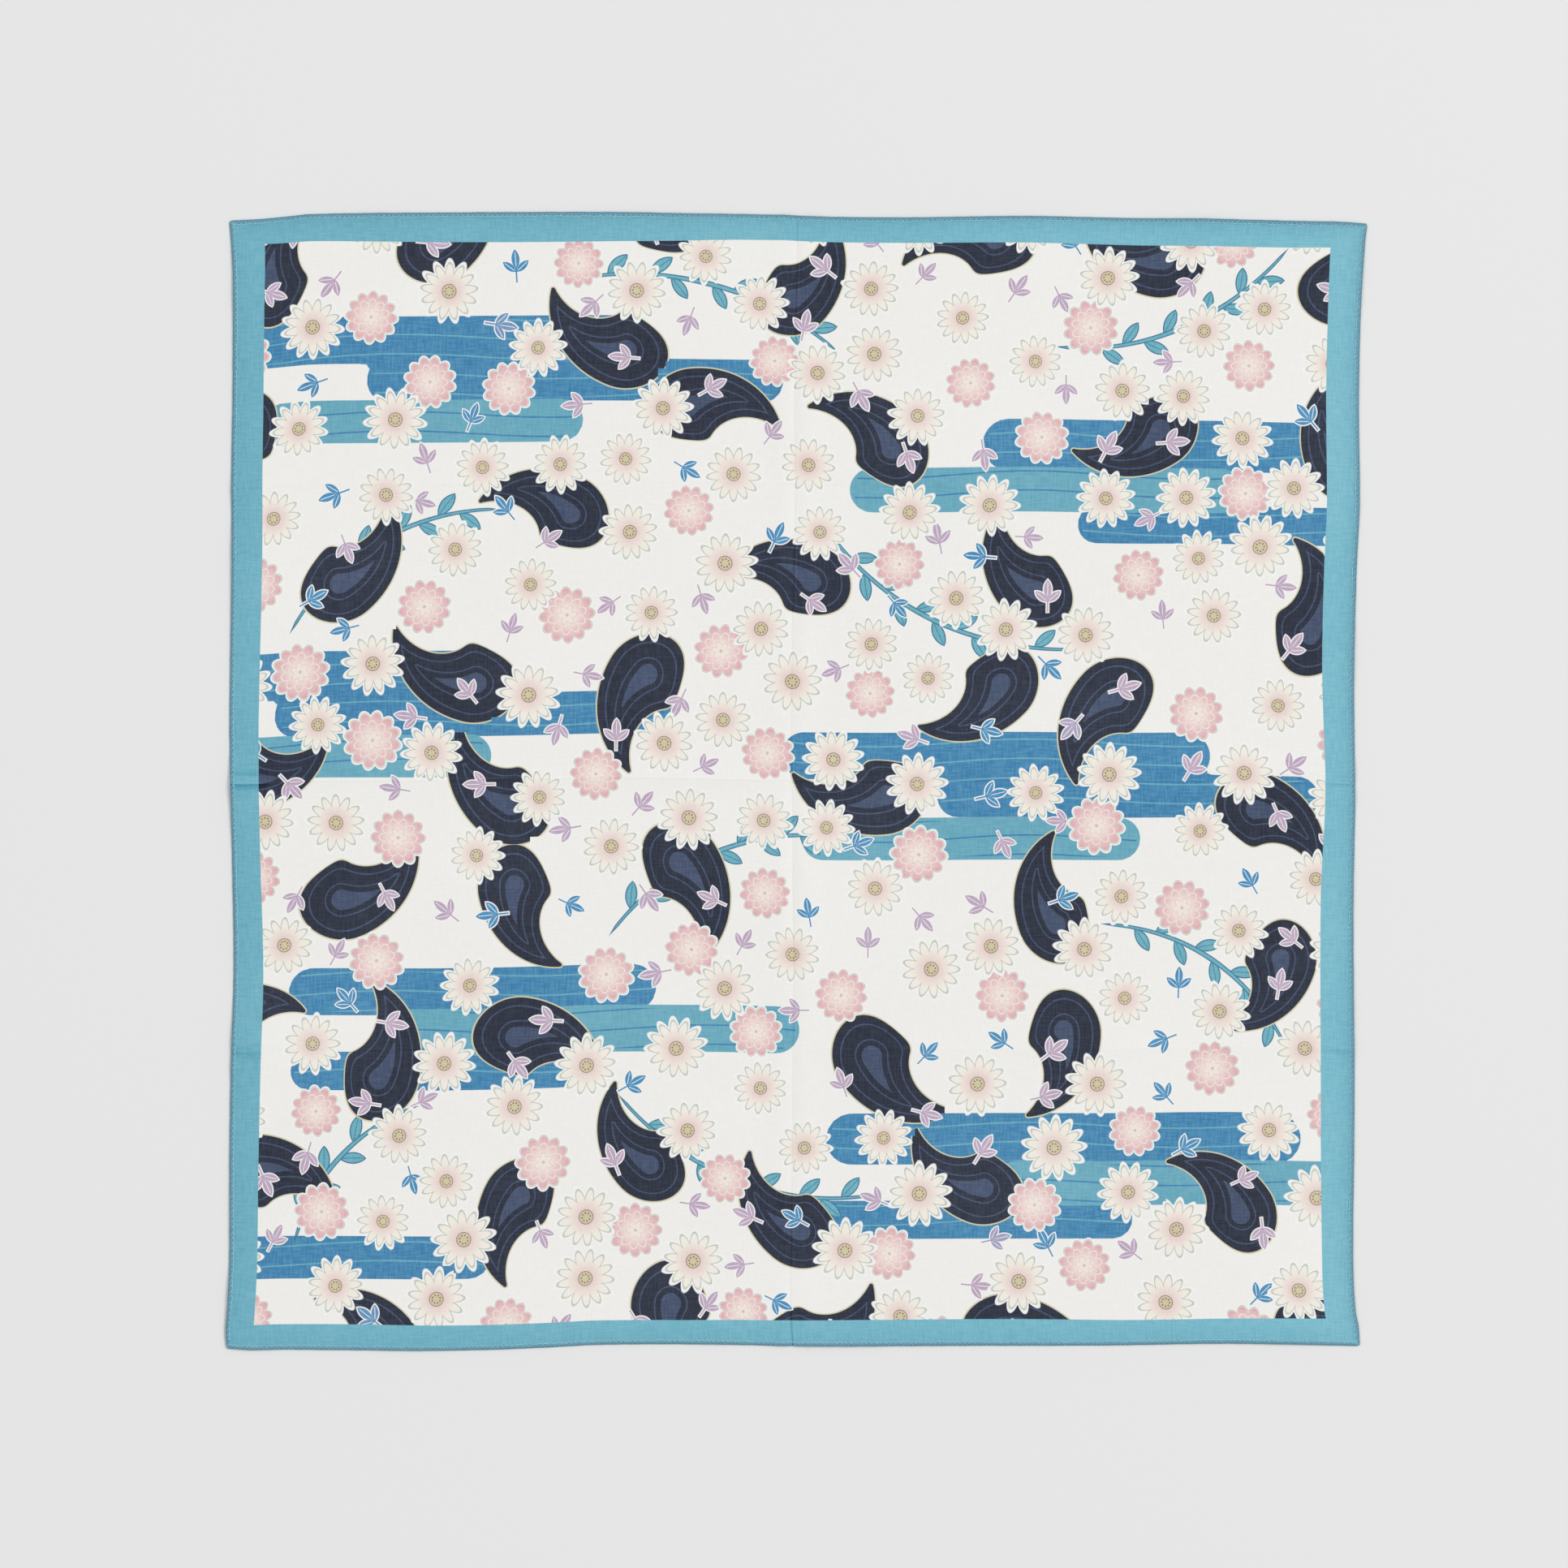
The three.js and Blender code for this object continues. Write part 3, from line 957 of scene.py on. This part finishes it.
def crease_wear_and_painted_shade(cloth):
    """Marks along the creases: a fine line of painted shade, a light line of worn ink beside it, and a
    painted shadow over the border.

    The painted shadow lies outside the two lines of a pleat, and is weaker past the second.
    """
    marks = []
    for name in ("upright", "level"):
        away, press, painted_shade = cloth.read(f"{name}_fold")
        pleat, soft, _ = cloth.read(f"{name}_pleat")
        # a thin line of painted shade along the crease, and a light line of worn ink beside it
        painted_shade_line = abs(away).ramp(*WORN_AND_SHADED_LINE) * press
        light = abs(away - LIGHT_LINE).ramp(*WORN_AND_SHADED_LINE) * press
        # a painted shadow outside the pleat's two lines, weaker past the second
        past = (away * -1).most(away - pleat)
        fade = ((soft - past) / soft).ramp(0, 1) * past.ramp(-PLEAT_RISE, 0)
        second = (away - pleat * 0.5).ramp(0, PLEAT_STEP)
        marks.append((painted_shade_line, light, fade * (second * -SECOND_LINE + 1) * painted_shade))
    return [upright.most(level) for upright, level in zip(*marks)]


def shade_cloth(tree, shader, colour, x, y, yarn):
    """Plain weave in the surface, and the cloth's matt finish."""
    weft, warp = ((place * (math.pi / WEAVE["thread"])).apply("SINE") for place in (x, y))
    add_bump(tree, shader, weft * warp * WEAVE["cross"] + yarn * WEAVE["yarn"], *WEAVE["bump"])
    tree.links.new(colour, shader.inputs["Base Color"])
    roughness = yarn * ROUGHNESS["yarn"] + ROUGHNESS["least"]
    tree.links.new(roughness.socket, shader.inputs["Roughness"])


def printed_cotton():
    """White cotton lawn printed in blues, navy, pinks and cream inside a plain border, with painted
    shade along the creases, in the weave's gaps and near the hem, and painted light on the border's
    right side.
    """
    material, tree, shader = new_material("printed_cotton", CLOTH_FINISH)
    cloth = Print(tree, "ground")
    yarn = crossed_noise(tree, YARN)
    coat = cloth_noise(tree, COAT["per_metre"], COAT["shift"])
    streaks = crossed_noise(tree, SLUB).ramp(*SLUB["pale"])
    print_mist(cloth, streaks)
    for step in (print_vines, print_paisleys, print_sprigs, print_dahlias, print_daisies, print_border):
        step(cloth)
    x, y, face = cloth.read("flat")
    # a thin line of painted shade, a light line of worn ink, and painted shadow over the border
    painted_shade_line, light, painted_shade = crease_wear_and_painted_shade(cloth)
    coat_thin = coat.ramp(*COAT["pale"]) * THINNING["coat"]
    yarn_thin = yarn.ramp(*YARN["pale"]) * THINNING["yarn"]
    cloth.thin(coat_thin + yarn_thin + (streaks - 0.5) * THINNING["streaks"])
    # the worn light line thins the ink; the painted shade line and the painted shadow thicken it
    cloth.thin(light * THINNING["light"] - painted_shade_line * THINNING["painted_shade_line"] - painted_shade)
    # navy as painted shade in the weave's gaps and along the creases' painted shade line
    cloth.lay(yarn.ramp(*YARN["painted_gap_shade"]) * PAINTED_GAP_SHADE_NAVY + painted_shade_line * PAINTED_SHADE_LINE_NAVY, "navy")
    cloth.lay(face.ramp(1, 0) * BACK_PALE, "ground")
    shade_cloth(tree, shader, cloth.colour, x, y, yarn)
    return material


def overlock_thread():
    """Spun sewing thread in the border's blue, with a twist in its surface, darkened by painted shade at
    the rim and in the gaps between stitches.
    """
    material, tree, shader = new_material("overlock_thread", THREAD_FINISH)
    coordinates = add_node(tree, "TexCoord")
    noise = add_node(tree, "TexNoise", Scale=TWIST["per_metre"], Detail=NOISE_DETAIL)
    tree.links.new(coordinates.outputs["Object"], noise.inputs["Vector"])
    twist = Field(tree, noise.outputs[0])
    thread = Print(tree, "thread")
    painted_shade, _, _ = thread.read("painted_shade")
    thread.lay(twist.ramp(*TWIST["pale"]), "pale thread")
    # painted shade on the thread at the rim and in the gaps between stitches
    thread.lay(painted_shade, "thread in painted shade")
    tree.links.new(thread.colour, shader.inputs["Base Color"])
    add_bump(tree, shader, twist, *TWIST["bump"])
    return material


# Overlock sewing

# One stitch, from the needle line over the edge to the underside, and the thread's way back on top.
# along: share of the pitch. inset: share of the stitch depth.
# face: 1 on top, 0 at the edge, -1 underneath.
# proud: how far the thread's middle stands off the cloth, in thread radii.
# painted shade: 0 for pale thread, 1 for the darker thread in painted shade at the edge and in the gaps.
OVER_STITCH = {
    "along": (0, 0.08, 0.22, 0.35, 0.43, 0.5, 0.58, 0.7),
    "inset": (1, 0.8, 0.5, 0.2, -0.05, 0.2, 0.55, 0.95),
    "face": (1, 1, 1, 1, 0, -1, -1, -1),
    "proud": (-0.6, 0.8, 0.9, 0.8, 0, 0.8, 0.8, -0.6),
    "painted_shade": (0, 0.1, 0.4, 0.8, 0.9, 0.6, 0.3, 0),
}
BACK_STITCH = {
    "along": (0.48, 0.58, 0.78, 1),
    "inset": (-0.04, 0.22, 0.6, 1),
    "face": (0, 1, 1, 1),
    "proud": (0, 0.35, 0.35, -0.6),
    "painted_shade": (0.9, 0.8, 0.5, 0.1),
}
LOOP_STITCH = {
    "along": (0.1, 0.24, 0.42, 0.56),
    "inset": (0.72, 0.8, 0.8, 0.72),
    "face": 1,
    "proud": (-0.7, 0.45, 0.45, -0.7),
    "painted_shade": 0.8,
}
NEEDLE_STITCH = {
    "along": (0.06, 0.22, 0.5, 0.78, 0.94),
    "inset": (1.03, 1.08, 1.1, 1.08, 1.03),
    "face": 1,
    "proud": (-0.8, 0.5, 0.8, 0.5, -0.8),
    "painted_shade": 0,
}

# The thread along the rim. step: between its points. out: past the cloth's edge.
# wave, length: how far it strays, and over how many pitches. The last value: its painted shade, full
# along the rim.
EDGE_THREAD = {"step": 0.9 * MM, "out": 0.07 * MM, "wave": 0.03 * MM, "length": 3, "painted_shade": 1.0}

# Which way each edge runs: the four rows of sewing follow one another round the cloth
EDGES = {
    "near": lambda along, inset: (along, inset),
    "right": lambda along, inset: (1 - inset, along),
    "far": lambda along, inset: (1 - along, 1 - inset),
    "left": lambda along, inset: (inset, 1 - along),
}
EDGE_RUNS = {"near": (1, 0, 0), "right": (0, 1, 0), "far": (-1, 0, 0), "left": (0, -1, 0)}
UPWARD = (0, 0, 1)


def edge_places(edge, along, inset):
    """Places on the floor along one edge, and how far the cloth stands off it there."""
    across, up = EDGES[edge](along / SIDE, inset / SIDE)
    return lie(across, up) - MIDDLE, lift(np.clip(across, 0, 1), np.clip(up, 0, 1))


def thread_paths(edge, stitch, starts, draw):
    """Paths of the thread on one edge: an array of stitches, points and places."""
    pitch = STITCH_PITCH[edge]
    loose_along, loose_inset = (
        draw.normal(0, STITCH_LOOSE[way], (len(starts), 1)) for way in ("along", "inset")
    )
    along = starts[:, None] + np.array(stitch["along"]) * pitch + loose_along * pitch
    inset = np.array(stitch["inset"]) * STITCH_DEPTH + loose_inset * STITCH_DEPTH
    face = np.array(stitch["face"])
    place, rise = edge_places(edge, along, inset)
    inner = np.maximum(inset, 0)
    top, under = hem_height("top", inner), hem_height("under", inner)
    proud = np.array(stitch["proud"]) * THREAD_RADIUS
    height = np.where(face > 0, top + proud, np.where(face < 0, under - proud, (top + under) / 2))
    return np.dstack([place, np.maximum(height + rise, THREAD_RADIUS)])


def edge_path(edge, seed):
    """The one path of the thread along the rim of an edge, through the loops of its stitches."""
    along = np.arange(0, SIDE, EDGE_THREAD["step"])[None, :]
    stray = wander(along, 0, EDGE_THREAD["length"] * STITCH_PITCH[edge], seed)
    out = EDGE_THREAD["out"] + EDGE_THREAD["wave"] * stray
    place, rise = edge_places(edge, along, -out)
    middle = (hem_height("top", 0) + hem_height("under", 0)) / 2
    return np.dstack([place, middle + rise])


def tubes(paths, guide):
    """Round closed tubes along many paths at once. guide: a direction that no path runs along."""
    count, steps, _ = paths.shape
    ahead = np.gradient(paths, axis=1)
    ahead /= np.linalg.norm(ahead, axis=2, keepdims=True)
    across = np.cross(ahead, guide)
    across /= np.linalg.norm(across, axis=2, keepdims=True)
    upward = np.cross(across, ahead)
    turn = np.arange(THREAD_SIDES) * WHOLE_TURN / THREAD_SIDES
    ring = across[:, :, None] * np.cos(turn)[:, None] + upward[:, :, None] * np.sin(turn)[:, None]
    points = (paths[:, :, None] + ring * THREAD_RADIUS).reshape(-1, 3)

    number = np.arange(count * steps * THREAD_SIDES).reshape(count, steps, THREAD_SIDES)
    low, high = number[:, :-1], number[:, 1:]
    low_next, high_next = np.roll(low, -1, 2), np.roll(high, -1, 2)
    walls = np.stack([low, high, high_next, low_next], -1).reshape(-1, 4)
    starts, ends = number[:, 0], number[:, -1, ::-1]
    return points, walls.tolist() + starts.tolist() + ends.tolist()


def make_stitches(edge, material, seed):
    """All the overlock thread on one edge, as one joined mesh."""
    draw = np.random.default_rng(seed)
    pitch, run = STITCH_PITCH[edge], EDGE_RUNS[edge]
    starts = np.arange(STITCH_START, SIDE - STITCH_END * pitch, pitch)
    guides = ((OVER_STITCH, run), (BACK_STITCH, run), (LOOP_STITCH, UPWARD), (NEEDLE_STITCH, UPWARD))
    threads = [
        (thread_paths(edge, stitch, starts, draw), guide, stitch["painted_shade"]) for stitch, guide in guides
    ]
    threads.append((edge_path(edge, seed), UPWARD, EDGE_THREAD["painted_shade"]))
    points, faces, painted_shades = [], [], []
    total = 0
    for paths, guide, painted_shade in threads:
        new_points, new_faces = tubes(paths, guide)
        points.append(new_points)
        faces += [[corner + total for corner in face] for face in new_faces]
        along_path = np.broadcast_to(painted_shade, paths.shape[1])
        painted_shades.append(np.tile(np.repeat(along_path, THREAD_SIDES), len(paths)))
        total += len(new_points)
    piece, mesh = add_mesh(f"overlock_{edge}", np.concatenate(points).tolist(), faces)
    # how much painted shade darkens each point of the thread
    painted_shade = np.concatenate(painted_shades)
    keep_values(mesh, "painted_shade", "POINT", np.column_stack([painted_shade, painted_shade, painted_shade]))
    mesh.shade_smooth()
    mesh.materials.append(material)
    return piece


# Floor, light and camera

def make_floor():
    """A wide pale floor."""
    ends = (-FLOOR_HALF, FLOOR_HALF)
    corners = [(x, y, 0) for x in ends for y in ends]
    floor, mesh = add_mesh("floor", corners, [(0, 2, 3, 1)])
    material, _, _ = new_material("floor", FLOOR_FINISH)
    mesh.materials.append(material)


def make_light(name, place, size, power):
    """A soft box that faces the cloth."""
    data = bpy.data.lights.new(name, "AREA")
    data.shape = "DISK"
    data.size = size
    data.energy = power
    light = add_object(name, data)
    light.location = place
    light.rotation_euler = (-Vector(place)).to_track_quat("-Z", "Y").to_euler()


def make_world(strength):
    """Even white light from all round."""
    world = bpy.data.worlds.new("studio")
    world.use_nodes = True
    background = world.node_tree.nodes["Background"]
    background.inputs["Color"].default_value = (1, 1, 1, 1)
    background.inputs["Strength"].default_value = strength
    bpy.context.scene.world = world


def make_camera():
    """Straight above the cloth, with the photograph's framing."""
    middle = FRAME_PIXELS / 2
    cloth_x, cloth_y = CLOTH_MIDDLE_PIXEL
    height = FRAME_PIXELS * PIXEL * CAMERA_LENS / SENSOR_WIDTH
    data = bpy.data.cameras.new("camera")
    data.lens = CAMERA_LENS
    data.sensor_width = SENSOR_WIDTH
    camera = add_object("camera", data)
    camera.location = ((middle - cloth_x) * PIXEL, (cloth_y - middle) * PIXEL, height)
    bpy.context.scene.camera = camera


make_camera()
make_floor()
make_world(WORLD_STRENGTH)
for light_form in LIGHTS:
    make_light(**light_form)
bpy.context.scene.view_settings.view_transform = "Standard"

sheet, flat_places, sheet_faces = make_sheet()
lay_out_print(sheet.data, flat_places, sheet_faces)
sheet.data.materials.append(printed_cotton())
thread = overlock_thread()
stitches = [make_stitches(edge, thread, seed) for seed, edge in enumerate(EDGES, start=STITCH_SEED)]

for piece in (sheet, *stitches):
    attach(piece, "root")
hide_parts("bandana_cloth")
